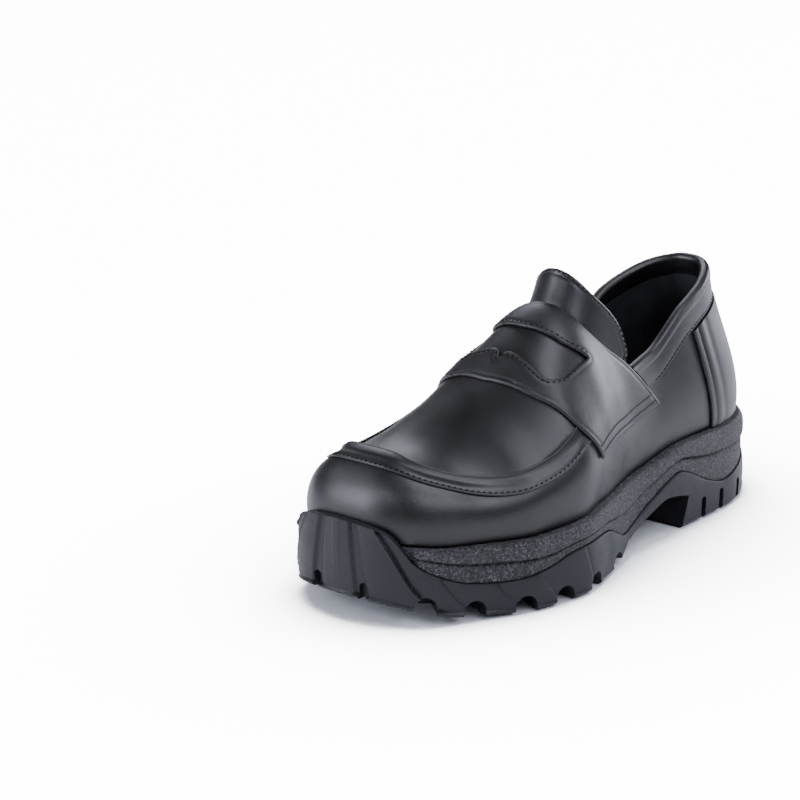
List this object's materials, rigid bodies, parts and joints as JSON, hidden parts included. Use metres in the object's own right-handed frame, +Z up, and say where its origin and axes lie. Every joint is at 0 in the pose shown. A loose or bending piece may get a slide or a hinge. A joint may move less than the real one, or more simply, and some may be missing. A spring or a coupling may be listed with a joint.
{
  "type": "chunky lug sole loafer",
  "caption": "Leather slip-on shoe with a raised apron seam, a slotted strap over the instep, a standing tongue and a thick lugged rubber sole with a toe bumper; open at the collar.",
  "frame": {"origin": "centre of the shoe's bounding box, on the floor that the sole stands on", "axes": "+Z up, -Y towards the toe, +Y towards the heel, +X towards the outer side of the foot"},
  "size_m": [0.1233, 0.29, 0.1429],
  "materials": {
    "smooth_rubber": "matte moulded rubber, dark grey, smooth with faint flow marks and darker notches",
    "grained_rubber": "moulded rubber with a fine pebbled grain that shows as grey speckles",
    "smooth_leather": "smooth black box leather, satin with soft broad highlights, rolled edges and black stitches",
    "lining_leather": "matte black lining leather with faint wrinkles"
  },
  "bodies": {
    "root": {"outsole": "smooth_rubber", "midsole": "grained_rubber", "insole": "lining_leather", "upper": "smooth_leather", "apron_seam": "smooth_leather", "tongue": "smooth_leather", "saddle_strap": "smooth_leather", "collar_band": "smooth_leather", "heel_counter": "smooth_leather"}
  },
  "joints": []
}
